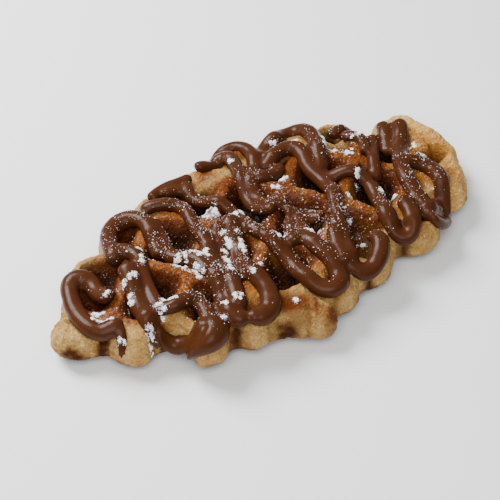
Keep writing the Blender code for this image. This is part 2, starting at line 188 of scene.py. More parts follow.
def noise(points, size, seed, octaves=1):
    """Value noise in -1..1: a seeded lattice with cells of the given size, blended with
    smooth steps; each octave halves the size and the weight."""
    total = np.zeros(len(points))
    weight = 1.0
    weights = 0.0
    for octave in range(octaves):
        lattice = np.random.default_rng(seed + octave).random((LATTICE_CELLS,) * 3)
        place = points / size + OCTAVE_SHIFT * (octave + 1)
        cell = np.floor(place).astype(int)
        t = place - cell
        t = t * t * (3.0 - 2.0 * t)
        for corner in np.ndindex(2, 2, 2):
            share = np.prod(np.where(corner, t, 1.0 - t), axis=1)
            i, j, k = ((cell + corner) % LATTICE_CELLS).T
            total += weight * share * (2.0 * lattice[i, j, k] - 1.0)
        weights += weight
        weight *= 0.5
        size *= 0.5
    return total / weights


def inside_distance(x, y):
    """How far a point is inside the outline: an ellipse blended with the lobes' circles,
    less the notches' circles."""
    radius = np.maximum(np.hypot(x / CORE_HALF_LENGTH, y / CORE_HALF_WIDTH), 1e-6)
    slope = np.hypot(x / CORE_HALF_LENGTH**2, y / CORE_HALF_WIDTH**2) / radius
    outside = (radius - 1.0) / np.maximum(slope, 1e-6)
    for lobe_x, lobe_y, lobe_radius in LOBES:
        outside = blend_lower(outside, np.hypot(x - lobe_x, y - lobe_y) - lobe_radius, LOBE_BLEND)
    inside = -outside
    for notch_x, notch_y, notch_radius in NOTCHES:
        inside = blend_lower(inside, np.hypot(x - notch_x, y - notch_y) - notch_radius, NOTCH_BLEND)
    return inside


def crease(x, y):
    """1 in the folds where two neighbouring lobes are equally near, exp(-u^2) in the
    difference of their distances, fading inwards, and exp(-u^2) from the longer folds."""
    spots = np.stack([x, y, np.zeros_like(x)], -1)
    bent_x = x + CREASE_WANDER * noise(spots, CREASE_WANDER_SIZE, 81, 2)
    bent_y = y + CREASE_WANDER * noise(spots, CREASE_WANDER_SIZE, 83, 2)
    reach = np.hypot(bent_x[:, None] - LOBES[:, 0], bent_y[:, None] - LOBES[:, 1]) - LOBES[:, 2]
    nearest = np.sort(reach, axis=-1)
    fold = np.exp(-((nearest[:, 1] - nearest[:, 0]) / CREASE_WIDTH)**2)
    uneven = ease(noise(spots, CREASE_BREAK_SIZE, 85), -0.3, 0.5)
    fold = fold * uneven * ease(-inside_distance(x, y), -CREASE_FADES_AT, -CREASE_FULL_AT)
    for start_x, start_y, end_x, end_y in LONG_FOLDS:
        step_x, step_y = end_x - start_x, end_y - start_y
        share = ((bent_x - start_x) * step_x + (bent_y - start_y) * step_y) / (step_x**2 + step_y**2)
        share = np.clip(share, 0.0, 1.0)
        away = np.hypot(bent_x - start_x - share * step_x, bent_y - start_y - share * step_y)
        fold = np.maximum(fold, np.exp(-(away / LONG_FOLD_WIDTH)**2))
    return fold


def ridge_distance(x, y):
    """Distance to the nearest line of the waffle grid, with the pockets' corners rounded."""
    nearest = np.full(np.shape(x), max(PITCHES))
    for pitch, angle, offset in zip(PITCHES, np.radians(RIDGE_ANGLES), RIDGE_OFFSETS):
        across = y * np.cos(angle) - x * np.sin(angle) - offset
        to_line = np.abs((across / pitch + 0.5) % 1.0 - 0.5) * pitch
        nearest = blend_lower(nearest, to_line, CORNER_BLEND)
    return nearest


def pressed_area(x, y):
    """1 between the grid's first and last ridge of the first family, 0 out at the ends."""
    angle = np.radians(RIDGE_ANGLES[0])
    across = y * np.cos(angle) - x * np.sin(angle)
    return ease(across, PRESSED_FROM - PRESSED_FADE, PRESSED_FROM) * (
        1.0 - ease(across, PRESSED_TO, PRESSED_TO + PRESSED_FADE))


def pocket_share(x, y, ridge_width=RIDGE_WIDTH, wall_width=WALL_WIDTH):
    """0 on a ridge, 1 on a pocket's floor, and no pocket right at the edge."""
    half_ridge = 0.5 * ridge_width
    wall = ease(ridge_distance(x, y), half_ridge - RIDGE_SHOULDER, half_ridge + wall_width)
    edge = ease(inside_distance(x, y), POCKET_EDGE_FROM, POCKET_EDGE_TO)
    return wall * edge * pressed_area(x, y)


def crest_height(x, y):
    """Height of the ridge tops: a low dome, thinner at the -X end, in slow waves."""
    far_out = (x / DOME_HALF_LENGTH)**2 + (y / DOME_HALF_WIDTH)**2
    crest = CREST_AT_EDGE + CREST_RISE * np.clip(1.0 - far_out, 0.0, 1.0)**DOME_POWER
    crest = crest - THIN_END_DROP * ease(-x, THIN_END_FROM, THIN_END_TO)
    wave = np.sin(WAVE_ALONG_X * x + WAVE_PHASE_X) * np.cos(WAVE_ALONG_Y * y + WAVE_PHASE_Y)
    return crest + RIDGE_WAVE * wave


def edge_roundness(x, y):
    """0 on the outline and 1 from EDGE_ROUND inwards, along a quarter round."""
    t = np.clip(inside_distance(x, y) / EDGE_ROUND, 0.0, 1.0)
    return np.sqrt(1.0 - (1.0 - t)**2)


def top_height(x, y, depth=TOP_DEPTH):
    """The upper face: ridge tops, pockets of the given share of their height, round edge."""
    face = crest_height(x, y) * (1.0 - depth * pocket_share(x, y))
    return SEAM_HEIGHT + (face - SEAM_HEIGHT) * edge_roundness(x, y)


def underside_height(x, y):
    """The lower face: flat ridges to rest on, shallower pockets, lifting at the edge."""
    far_out = (x / DOME_HALF_LENGTH)**2 + (y / DOME_HALF_WIDTH)**2
    below = pocket_share(x, y, UNDERSIDE_RIDGE_WIDTH, UNDERSIDE_WALL_WIDTH)
    ceiling = crest_height(x, y) * (1.0 - TOP_DEPTH * pocket_share(x, y)) - POCKET_WEB
    face = np.minimum(UNDERSIDE_LIFT * ease(far_out, LIFT_FROM, 1.0) + UNDERSIDE_DEPTH * below, ceiling)
    face = SEAM_HEIGHT - (SEAM_HEIGHT - face) * edge_roundness(x, y)
    return np.where(face < REST_SNAP, 0.0, face)


def outline_rays():
    """Rays from a spine to the outline, found by bisection: start x and end x, y of each."""
    turn = 2.0 * np.pi * np.arange(SLAB_TURNS) / SLAB_TURNS
    start_x = SPINE_HALF * np.cos(turn)
    reach_x = RAY_REACH_X * CORE_HALF_LENGTH * np.cos(turn) - start_x
    reach_y = RAY_REACH_Y * CORE_HALF_WIDTH * np.sin(turn)
    low = np.zeros(SLAB_TURNS)
    high = np.ones(SLAB_TURNS)
    for _ in range(HALVINGS):
        middle = 0.5 * (low + high)
        inside = inside_distance(start_x + middle * reach_x, middle * reach_y) > 0.0
        low = np.where(inside, middle, low)
        high = np.where(inside, high, middle)
    return start_x, start_x + low * reach_x, low * reach_y


def sheet_points(rings, height):
    """Points of one face: rings at shares sin(t) of the way from the spine to the outline,
    t from 0 to a quarter turn, each lifted to height(x, y)."""
    start_x, end_x, end_y = outline_rays()
    share = np.sin(0.5 * np.pi * np.arange(rings + 1) / rings)[:, None]
    x = start_x + share * (end_x - start_x)
    y = share * end_y
    return np.stack([x, y, height(x, y)], -1)


def pastry_mesh():
    """The closed slab: the upper and the lower sheet of rings, sewn along the outline, and
    along the spine, where each ray meets its mirror image. Points and faces, outward."""
    top = sheet_points(TOP_RINGS, top_height)
    under = sheet_points(UNDERSIDE_RINGS, underside_height)
    columns = np.arange(SLAB_TURNS)
    beside = (columns + 1) % SLAB_TURNS
    mirrored = np.minimum(columns, SLAB_TURNS - columns)
    offset = top[:, :, 0].size
    rim = TOP_RINGS * SLAB_TURNS
    faces = []
    for rings, first, upward in ((TOP_RINGS, 0, True), (UNDERSIDE_RINGS, offset, False)):
        index = first + np.arange((rings + 1) * SLAB_TURNS).reshape(rings + 1, SLAB_TURNS)
        index[0] = first + mirrored
        index[-1] = rim + columns
        quads = np.stack([index[:-1][:, columns], index[1:][:, columns],
                          index[1:][:, beside], index[:-1][:, beside]], -1).reshape(-1, 4)
        if not upward:
            quads = quads[:, ::-1]
        faces.append(quads)
    faces = np.concatenate(faces)
    points = np.concatenate([top.reshape(-1, 3), under.reshape(-1, 3)])
    used, flat = np.unique(faces, return_inverse=True)
    faces = flat.reshape(-1, 4)
    repeated = faces == np.roll(faces, 1, axis=1)
    shaped = []
    for face, same in zip(faces.tolist(), repeated.tolist()):
        shaped.append([corner for corner, skip in zip(face, same) if not skip])
    return points[used], shaped


def add_object(name, data):
    """An object in the scene, of a mesh, a light or a camera."""
    made = bpy.data.objects.new(name, data)
    bpy.context.scene.collection.objects.link(made)
    return made


def make_object(name, points, faces):
    """A smooth mesh object; points in millimetres on the drawn outline."""
    mesh = bpy.data.meshes.new(name)
    mesh.from_pydata(((points - MIDDLE) * MM).tolist(), [], faces)
    mesh.shade_smooth()
    return add_object(name, mesh)


def drawn_points(mesh):
    """A mesh's points in millimetres on the drawn outline, and its vertex normals."""
    points = np.empty(3 * len(mesh.vertices))
    normals = np.empty(3 * len(mesh.vertices))
    mesh.vertices.foreach_get("co", points)
    mesh.vertex_normals.foreach_get("vector", normals)
    return points.reshape(-1, 3) / MM + MIDDLE, normals.reshape(-1, 3)


def set_points(mesh, points):
    """Writes points in millimetres back to the mesh."""
    mesh.vertices.foreach_set("co", ((points - MIDDLE) * MM).ravel())
    mesh.update()


def set_field(mesh, name, values):
    """A float attribute on the points, for the material."""
    layer = mesh.attributes.new(name, "FLOAT", "POINT")
    layer.data.foreach_set("value", np.asarray(values, dtype=np.float32))


# Where the sugar fell thickly: centre x, y, half length, half width and turn in degrees.
CLUMPS = (
    (-65.0, -1.0, 2.4, 1.6, -35), (-66.0, -6.0, 4.5, 1.5, -35), (-60.5, 1.0, 1.4, 1.2, 0),
    (-54.5, -5.0, 2.4, 1.4, 55), (-51.0, 1.5, 3.6, 1.2, 6), (-49.5, -14.5, 4.8, 1.4, 90),
    (-45.0, -13.0, 3.8, 1.5, -35), (-43.5, 6.0, 1.8, 1.2, 60), (-40.5, 10.0, 2.3, 1.3, -35),
    (-65.0, -15.5, 1.3, 0.9, 0), (-56.0, -18.0, 3.0, 1.5, 80), (-57.0, -22.0, 1.6, 1.2, 30),
    (-12.5, 15.0, 5.5, 2.8, -35), (-6.0, 7.5, 2.2, 1.4, -20), (-1.0, 6.0, 3.8, 2.3, -35),
    (-15.0, -1.0, 5.0, 1.3, 88), (-26.0, -3.0, 2.7, 2.5, 0), (-31.0, 0.0, 3.8, 1.4, -25),
    (-32.0, -5.5, 7.5, 1.5, -71), (-12.0, -4.5, 8.0, 0.8, 76), (-20.0, -8.5, 8.0, 0.8, 70),
    (-27.5, -25.5, 2.2, 1.5, -35), (-31.5, -25.0, 1.4, 1.2, 0), (-36.0, -29.5, 1.4, 1.1, 0),
    (-17.5, -20.0, 1.5, 0.8, 60), (-12.5, -16.5, 1.6, 0.8, 60), (1.0, -10.0, 2.5, 1.7, 20),
    (10.0, -13.5, 1.4, 1.2, 0), (15.0, -11.0, 1.3, 0.9, 0), (26.5, -12.5, 1.6, 1.3, 0),
    (26.5, -19.5, 2.2, 0.8, -35), (14.0, 11.5, 1.6, 1.2, 0), (19.5, 13.5, 2.5, 1.3, 20),
    (27.0, 31.5, 1.4, 1.0, 0), (35.0, 30.5, 2.3, 1.6, 0), (44.0, 18.0, 5.5, 2.8, -35),
    (46.0, 13.5, 2.6, 1.8, -40), (53.0, 17.0, 2.8, 1.2, 0), (41.0, 0.0, 2.4, 1.3, 30),
    (44.5, -10.5, 4.0, 1.5, -40), (-11.0, -34.0, 1.3, 1.0, 0), (67.5, 4.0, 2.2, 1.3, 30),
    (68.0, -1.5, 2.0, 0.7, 0), (33.0, -5.0, 1.2, 0.8, 0), (8.0, 30.0, 1.6, 1.0, 60),
)


# Where the crust is golden, its own colour, and at the +X end a painted orange shade of the folds;
# where it is browned, browned crust and painted shade of the pockets open at the near flank; where its
# lower edge is scorched, scorched crust and painted shade under the edge: the same five values each.
GOLDEN_SPOTS = (
    (23.5, -23.5, 5.0, 4.0, -40), (16.5, -14.5, 4.0, 3.0, 60), (-35.5, 19.5, 3.5, 2.5, 60),
    (-4.5, -11.0, 5.5, 2.5, -75), (56.0, 2.5, 4.5, 2.2, 60), (43.5, -18.0, 4.5, 3.5, -35),
    (-20.5, -26.0, 4.0, 3.5, 60), (-41.0, -21.5, 4.0, 3.5, 60), (60.0, -10.5, 5.0, 3.5, 60),
    (5.0, -28.5, 3.5, 3.0, 60), (-65.5, 8.0, 3.0, 2.0, 60), (75.0, -1.0, 8.0, 6.0, 60),
    (28.0, -20.0, 5.0, 4.0, -35), (44.0, -30.5, 4.5, 3.0, 30), (73.5, 3.0, 5.0, 6.0, 60),
    (22.5, 7.0, 4.5, 3.2, 60), (35.0, -6.0, 4.0, 3.0, 60),
)
# Browned crust and painted shade of the pockets open at the near flank.
BROWNED_AND_SHADED_SPOTS = (
    (-12.0, -34.5, 6.0, 3.6, -40), (-2.5, -43.0, 4.5, 2.2, 35), (-24.0, -30.0, 4.0, 3.0, 0),
    (-37.0, 25.0, 5.0, 4.0, -35), (-63.0, 9.0, 5.0, 3.5, 60), (-6.0, -38.0, 1.2, 4.0, -30),
    (-52.0, -19.0, 3.0, 2.0, 80), (-13.0, -32.5, 5.0, 4.0, -35), (82.0, 4.0, 2.5, 1.2, 85),
)
# Scorched crust and painted shade under the lower edge.
SCORCHED_AND_SHADED_SPOTS = (
    (-17.5, -38.5, 4.5, 1.5, -25), (-33.5, -33.0, 4.0, 2.5, 60), (-69.5, -10.5, 3.5, 1.8, 20),
    (17.5, -36.5, 2.2, 1.5, 40), (36.0, -31.5, 4.5, 2.0, 45), (-78.0, -7.5, 7.5, 1.5, -45),
)


def spot_share(x, y, spots):
    """1 in a spot's middle, exp(-u^2 - v^2) across it: u, v along and across its turn."""
    thick = np.zeros(np.shape(x))
    for spot_x, spot_y, half_length, half_width, turn in spots:
        along_x, along_y = np.cos(np.radians(turn)), np.sin(np.radians(turn))
        u = ((x - spot_x) * along_x + (y - spot_y) * along_y) / half_length
        v = ((y - spot_y) * along_x - (x - spot_x) * along_y) / half_width
        thick = np.maximum(thick, np.exp(-u * u - v * v))
    return thick


pastry_points, pastry_faces = pastry_mesh()
pastry = make_object("pastry", pastry_points, pastry_faces)
flat_points, flat_normals = drawn_points(pastry.data)
x, y, z = flat_points.T
# How far in each point lies, which way it faces, and the steep side near the outline.
inside = np.maximum(inside_distance(x, y), 0.0)
on_top = ease(flat_normals[:, 2], -0.25, 0.35)
below = 1.0 - on_top
side = (1.0 - ease(inside, 1.0, 6.0)) * (1.0 - ease(np.abs(flat_normals[:, 2]), 0.75, 0.98))
fold = crease(x, y)
layer_wander = LAYER_WANDER * noise(flat_points, LAYER_WANDER_SIZE, 3, 2)
layer = np.sin(2.0 * np.pi * (z / LAYER_PITCH + layer_wander))
lumps = noise(flat_points, LUMP_SIZE, 11, 2)
blisters = np.abs(noise(flat_points, BLISTER_SIZE, 21, 2))
grain = noise(flat_points, GRAIN_SIZE, 31, 2)
end_share = ease(x, END_FROM, END_TO)
across_folds = END_FOLD_ACROSS[0] * x + END_FOLD_ACROSS[1] * y
across_folds += END_FOLD_WANDER * noise(flat_points, END_FOLD_WANDER_SIZE, 51)
end_wave = np.sin(2.0 * np.pi * across_folds / END_FOLD_PITCH)
end_bands = END_FOLD_DEPTH * np.maximum(end_wave, END_FOLD_FLOOR)
# The relief moves each point along its normal, and fades out where the piece rests.
lift = LUMP_HEIGHT * lumps * on_top - CREASE_DEPTH * fold * ease(z, 1.0, 6.0)
lift += end_share * on_top * end_bands
lift += LAYER_DEPTH * side * layer
lift += BLISTER_HEIGHT * (BLISTER_LEVEL - blisters) * ease(z, 2.0, 5.0)
lift += (GRAIN_HEIGHT + GRAIN_MORE_ON_TOP * on_top) * grain
lift *= ease(z, 0.15, 2.0)
set_points(pastry.data, flat_points + lift[:, None] * flat_normals)

# Fields that the material reads.
crest = crest_height(x, y)
# How deep a point lies below the ridge tops, as a share: the material paints the crust darker with it,
# caramel on the walls and painted shade on the floors.
depth = on_top * np.clip((crest - z) / np.maximum(crest * TOP_DEPTH, 1.0), 0.0, 1.0)
depth += below * np.clip(z / UNDERSIDE_DEPTH, 0.0, 1.0)
pressed = ease(inside, 1.5 + 2.5 * below, 7.5 + 2.5 * below) * pressed_area(x, y)
set_field(pastry.data, "pressed", pressed)
set_field(pastry.data, "depth", depth * pressed)
rim_height = ease(noise(flat_points, RIM_WANDER_SIZE, 61, 2), -0.25, 0.25)
rim = 1.0 - ease(z + RIM_RAGGED * lumps, RIM_FULL, RIM_FADED + RIM_FADED_MORE * rim_height)
set_field(pastry.data, "rim", rim * (1.0 - pressed))
toasted = np.exp(-((x - TOASTED_X) / TOASTED_HALF_LENGTH)**2
                 - ((y - TOASTED_Y) / TOASTED_HALF_WIDTH)**2)
toasted += TOASTED_RAGGED * noise(flat_points, TOASTED_RAGGED_SIZE, 63, 2)
set_field(pastry.data, "toasted", np.clip(toasted, 0.0, 1.0))
# The creases, for their relief and for painted shade in them.
set_field(pastry.data, "fold", fold)
# Painted shade in the troughs of the folds across the +X end, coloured a darker golden.
set_field(pastry.data, "end_fold_shade", end_share * np.clip(-end_bands / (0.6 * END_FOLD_DEPTH), 0.0, 1.0))
dust_fray = 0.75 + 0.35 * noise(flat_points, DUST_FRAY_SIZE, 91, 2)
set_field(pastry.data, "dust", spot_share(x, y, CLUMPS) * on_top * dust_fray)
# Painted light: the +X end is coloured lighter, more on its lumps.
set_field(pastry.data, "end", end_share * (0.6 + 0.5 * lumps))
ragged = 0.8 + 0.5 * noise(flat_points, SPOT_FRAY_SIZE, 97, 2)
golden = np.clip(1.2 * spot_share(x, y, GOLDEN_SPOTS) * ragged, 0.0, 1.0)
set_field(pastry.data, "golden", golden * (1.0 - 0.65 * depth))
for field, spots in (("browned_and_shaded", BROWNED_AND_SHADED_SPOTS), ("scorched_and_shaded", SCORCHED_AND_SHADED_SPOTS)):
    set_field(pastry.data, field, np.clip(1.5 * spot_share(x, y, spots) * ragged, 0.0, 1.0))


def new_material(name, roughness):
    """A node material, its Principled shader and its Object coordinates."""
    material = bpy.data.materials.new(name)
    material.use_nodes = True
    shader = material.node_tree.nodes["Principled BSDF"]
    shader.inputs["Roughness"].default_value = roughness
    place = material.node_tree.nodes.new("ShaderNodeTexCoord")
    return material, shader, place.outputs["Object"]


def feed(tree, socket, value):
    """Sets a socket to a plain number or colour, or links another socket to it."""
    if isinstance(value, (tuple, int, float)):
        socket.default_value = value
    else:
        tree.links.new(value, socket)


def add_noise(tree, place, scale, detail, low, high):
    """Noise on Object coordinates, stretched so that low..high becomes 0..1."""
    texture = tree.nodes.new("ShaderNodeTexNoise")
    for name, value in (("Scale", scale), ("Detail", detail), ("Roughness", 0.6), ("Vector", place)):
        feed(tree, texture.inputs[name], value)
    spread = tree.nodes.new("ShaderNodeMapRange")
    for name, value in (("From Min", low), ("From Max", high), ("Value", texture.outputs["Fac"])):
        feed(tree, spread.inputs[name], value)
    return spread.outputs["Result"]


def add_math(tree, operation, first, second):
    """One math node, on sockets or plain numbers, held to 0..1."""
    node = tree.nodes.new("ShaderNodeMath")
    node.operation = operation
    node.use_clamp = True
    for socket, value in zip(node.inputs, (first, second)):
        feed(tree, socket, value)
    return node.outputs["Value"]


def add_step(tree, value, start, stop):
    """0 up to start, 1 from stop, smooth between."""
    node = tree.nodes.new("ShaderNodeMapRange")
    node.interpolation_type = "SMOOTHSTEP"
    for name, given in (("From Min", start), ("From Max", stop), ("Value", value)):
        feed(tree, node.inputs[name], given)
    return node.outputs["Result"]


def add_field(tree, name):
    """A point attribute as a value."""
    node = tree.nodes.new("ShaderNodeAttribute")
    node.attribute_name = name
    return node.outputs["Fac"]


def add_mix(tree, share, first, second):
    """A colour between two others, each a colour or a socket."""
    node = tree.nodes.new("ShaderNodeMix")
    node.data_type = "RGBA"
    for socket, value in ((node.inputs[0], share), (node.inputs[6], first), (node.inputs[7], second)):
        feed(tree, socket, value)
    return node.outputs[2]


def add_bump(tree, shader, height, strength, distance):
    """Fine relief on the shader's normal."""
    bump = tree.nodes.new("ShaderNodeBump")
    for name, value in (("Strength", strength), ("Distance", distance), ("Height", height)):
        feed(tree, bump.inputs[name], value)
    tree.links.new(bump.outputs["Normal"], shader.inputs["Normal"])


def dusting_group():
    """A node group that turns a colour white where sugar lies: a smooth step of the dust
    plus a share of a fine grain, from the level of the first white to that of all white."""
    group = bpy.data.node_groups.new("Sugar dusting", "ShaderNodeTree")
    for name, kind in (("Colour", "Color"), ("Place", "Vector"), ("Dust", "Float"),
                       ("First White", "Float"), ("All White", "Float")):
        group.interface.new_socket(name, in_out="INPUT", socket_type="NodeSocket" + kind)
    group.interface.new_socket("Colour", in_out="OUTPUT", socket_type="NodeSocketColor")
    given = group.nodes.new("NodeGroupInput").outputs
    result = group.nodes.new("NodeGroupOutput").inputs
    grain = add_math(group, "MULTIPLY", add_noise(group, given["Place"], *FINE_GRAIN), GRAIN_SHARE)
    dusted = add_math(group, "ADD", given["Dust"], grain)
    white_share = add_step(group, dusted, given["First White"], given["All White"])
    group.links.new(add_mix(group, white_share, given["Colour"], SUGAR_WHITE), result["Colour"])
    return group


def add_dusting(tree, colour, place, first_white, all_white):
    """The sugar dusting on a colour, by the mesh's dust attribute and the given levels."""
    node = tree.nodes.new("ShaderNodeGroup")
    node.node_tree = dusting
    for name, value in (("Colour", colour), ("Place", place), ("Dust", add_field(tree, "dust")),
                        ("First White", first_white), ("All White", all_white)):
        feed(tree, node.inputs[name], value)
    return node.outputs["Colour"]


SUGAR_WHITE = (0.94, 0.945, 0.96, 1.0)
# The fine grain's noise: scale, detail, and the levels that become 0 and 1.
FINE_GRAIN = (1500.0, 4.0, 0.36, 0.64)
GRAIN_SHARE = 0.45
dusting = dusting_group()

PALE = (0.78, 0.51, 0.180, 1.0)
STRAW = (0.55, 0.295, 0.080, 1.0)
GOLDEN = (0.43, 0.138, 0.012, 1.0)
AMBER = (0.25, 0.062, 0.0050, 1.0)
CARAMEL = (0.115, 0.021, 0.0022, 1.0)
SHADED_CARAMEL = (0.030, 0.0055, 0.0010, 1.0)
GLINT = (0.52, 0.26, 0.080, 1.0)
RIM_BROWN = (0.075, 0.018, 0.003, 1.0)
# The painted light of the +X end.
END_PAINTED_LIGHT = (0.96, 0.55, 0.140, 1.0)

crust, shader, place = new_material("Crust", 0.55)
tree = crust.node_tree
mottle = add_noise(tree, place, 260.0, 6.0, 0.38, 0.66)
patch = add_noise(tree, place, 95.0, 4.0, 0.36, 0.62)
fine = add_noise(tree, place, *FINE_GRAIN)
speckle = add_noise(tree, place, 900.0, 5.0, 0.35, 0.7)
glint = add_step(tree, add_noise(tree, place, 1900.0, 2.0, 0.3, 0.7), 0.74, 0.90)
# The plain sides: pale and mottled, darker in the folds as painted shade, a golden painted shade in the
# troughs of the end's folds, lighter over the +X end as painted light, brown at the rim.
side_colour = add_mix(tree, mottle, PALE, STRAW)
side_colour = add_mix(tree, add_math(tree, "MULTIPLY", fine, 0.40), side_colour, AMBER)
# Painted shade in the creases and in the end's fold troughs, painted light over the +X end.
for field, most, tint in (("fold", 0.5, CARAMEL), ("end_fold_shade", 0.8, GOLDEN), ("end", 0.8, END_PAINTED_LIGHT)):
    share = add_math(tree, "MULTIPLY", add_field(tree, field), most)
    side_colour = add_mix(tree, share, side_colour, tint)
side_colour = add_mix(tree, add_field(tree, "rim"), side_colour, RIM_BROWN)
# The pressed grid: golden ridges, toasted in the middle, caramel walls, floors darkened further as
# painted shade, and painted glints.
ridge_colour = add_mix(tree, patch, GOLDEN, AMBER)
ridge_colour = add_mix(tree, add_field(tree, "toasted"), ridge_colour, CARAMEL)
ridge_colour = add_mix(tree, add_math(tree, "MULTIPLY", fine, 0.5), ridge_colour, CARAMEL)
depth_share = add_math(tree, "ADD", add_field(tree, "depth"), add_math(tree, "MULTIPLY", fine, 0.14))
wall_share = add_step(tree, depth_share, 0.03, 0.20)
wall_colour = add_mix(tree, wall_share, ridge_colour, CARAMEL)
# Painted shade: the deeper part of each pocket is darkened towards near black.
floor_shade_share = add_step(tree, depth_share, 0.24, 0.75)
wall_colour = add_mix(tree, floor_shade_share, wall_colour, SHADED_CARAMEL)
wall_colour = add_mix(tree, add_math(tree, "MULTIPLY", glint, 0.38), wall_colour, GLINT)
# Golden, browned and scorched spots, each in part painted shade, and the sugar over all of it.
# The golden spots at the +X end are a painted orange shade of its folds.
golden_colour = add_mix(tree, add_math(tree, "MULTIPLY", mottle, 0.25), GOLDEN, STRAW)
golden_share = add_math(tree, "MULTIPLY", add_field(tree, "golden"), 0.9)
wall_colour = add_mix(tree, golden_share, wall_colour, golden_colour)
side_golden = add_math(tree, "MULTIPLY", add_field(tree, "golden"), 0.55)
side_colour = add_mix(tree, side_golden, side_colour, golden_colour)
colour = add_mix(tree, add_field(tree, "pressed"), side_colour, wall_colour)
brown_colour = add_mix(tree, add_math(tree, "MULTIPLY", fine, 0.5), CARAMEL, AMBER)
# Browned crust and painted shade.
brown_and_shade_share = add_math(tree, "MULTIPLY", add_field(tree, "browned_and_shaded"), 0.97)
colour = add_mix(tree, brown_and_shade_share, colour, brown_colour)
# Scorched crust and painted shade under the lower edge.
colour = add_mix(tree, add_field(tree, "scorched_and_shaded"), colour, RIM_BROWN)
colour = add_dusting(tree, colour, place, 0.86, 1.06)
tree.links.new(colour, shader.inputs["Base Color"])
shader.inputs["Specular IOR Level"].default_value = 0.10
shader.inputs["Coat Roughness"].default_value = 0.25
coat = add_math(tree, "MULTIPLY", add_field(tree, "pressed"), 0.12)
tree.links.new(coat, shader.inputs["Coat Weight"])
roughened = add_math(tree, "ADD", add_math(tree, "MULTIPLY", fine, 0.5), speckle)
add_bump(tree, shader, roughened, 1.0, 0.0008)
pastry.data.materials.append(crust)
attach(pastry, "root")
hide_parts("croffle")


# Chocolate. Melted chocolate, poured back and forth across the slab in thick ropes and
# left to set. They lie on the ridges, sink a little into the pockets, swell where they turn
# and run together where they cross.
ROPE_FLATTEN = 0.88
ROPE_SINK = 0.34
ROPE_BED = 1.35
ROPE_SMOOTH = 7
ROPE_STEP = 0.8
ROPE_SIDES = 20
# A rope's slow unevenness, as a share of its radius, and the size of its waves.
ROPE_UNEVEN = 0.10
ROPE_UNEVEN_SIZE = 6.0
# The share of its radius that a rope gains for each radian per millimetre that it turns, the
# sharpest turn that counts, and over how many rings the turn is averaged, twice.
BEND_SWELL = 0.45
BEND_MOST = 0.28
TURN_SMOOTH = 5
BEND_SMOOTH = 9
# The end ring of a round tip, as a share of the radius, squared.
TIP_LEAST = 0.03
# On the inside of a bend a tube reaches this share of the bend's radius.
BEND_ROOM = 0.9
# Ropes are laid a little thick, so that they join, merged on cubes of this size in metres,
# softened, and thinned again.
ROPE_JOIN = 0.45
ROPE_VOXEL = 0.00054
ROPE_THIN = 0.30
RIPPLE_HEIGHT = 0.10
RIPPLE_SIZE = 3.2
# Points along the curve between two turning points, the step along the curve before it is
# laid, and the least number of rings in a rope.
CURVE_STEPS = 24
FINE_STEP = 1.0
LEAST_RINGS = 5
